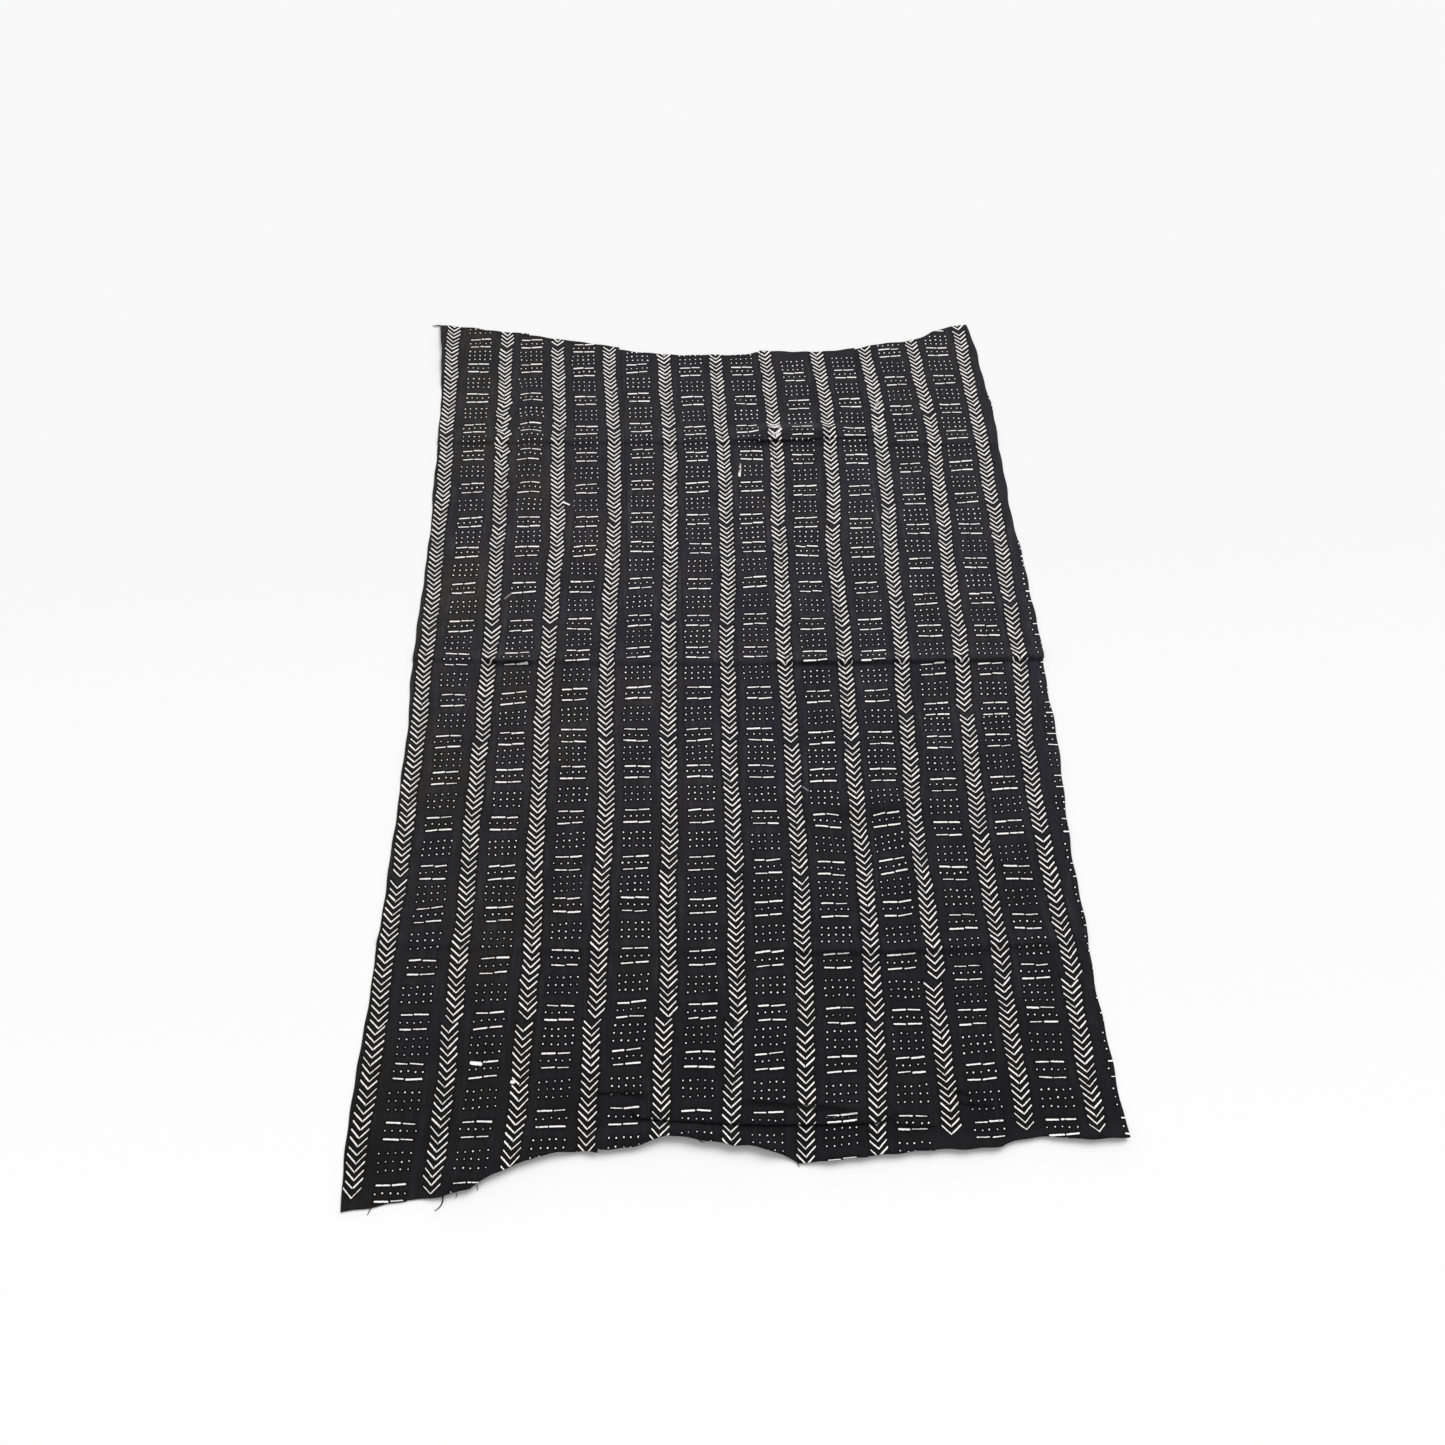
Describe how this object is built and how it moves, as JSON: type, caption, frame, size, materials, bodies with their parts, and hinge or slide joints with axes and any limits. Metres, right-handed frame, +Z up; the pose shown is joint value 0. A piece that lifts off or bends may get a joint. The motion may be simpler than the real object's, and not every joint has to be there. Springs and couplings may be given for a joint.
{
  "type": "mud cloth",
  "caption": "Strip-woven cotton mud cloth lying flat, near black with off-white chevrons, dashes and dots, softly creased and tucked at one end.",
  "frame": {"origin": "on the floor, under the middle of the laid cloth's box", "axes": "+X across the strips, +Y along the strips away from the near end with the tuck, +Z up"},
  "size_m": [1.0824, 1.644, 0.0138],
  "materials": {
    "mud_cloth": "matt hand-woven cotton dyed near black, with off-white marks"
  },
  "bodies": {
    "root": {"strip_01": "mud_cloth", "strip_02": "mud_cloth", "strip_03": "mud_cloth", "strip_04": "mud_cloth", "strip_05": "mud_cloth", "strip_06": "mud_cloth", "strip_07": "mud_cloth", "strip_08": "mud_cloth", "strip_09": "mud_cloth", "strip_10": "mud_cloth", "strip_11": "mud_cloth", "strip_12": "mud_cloth"}
  },
  "joints": []
}
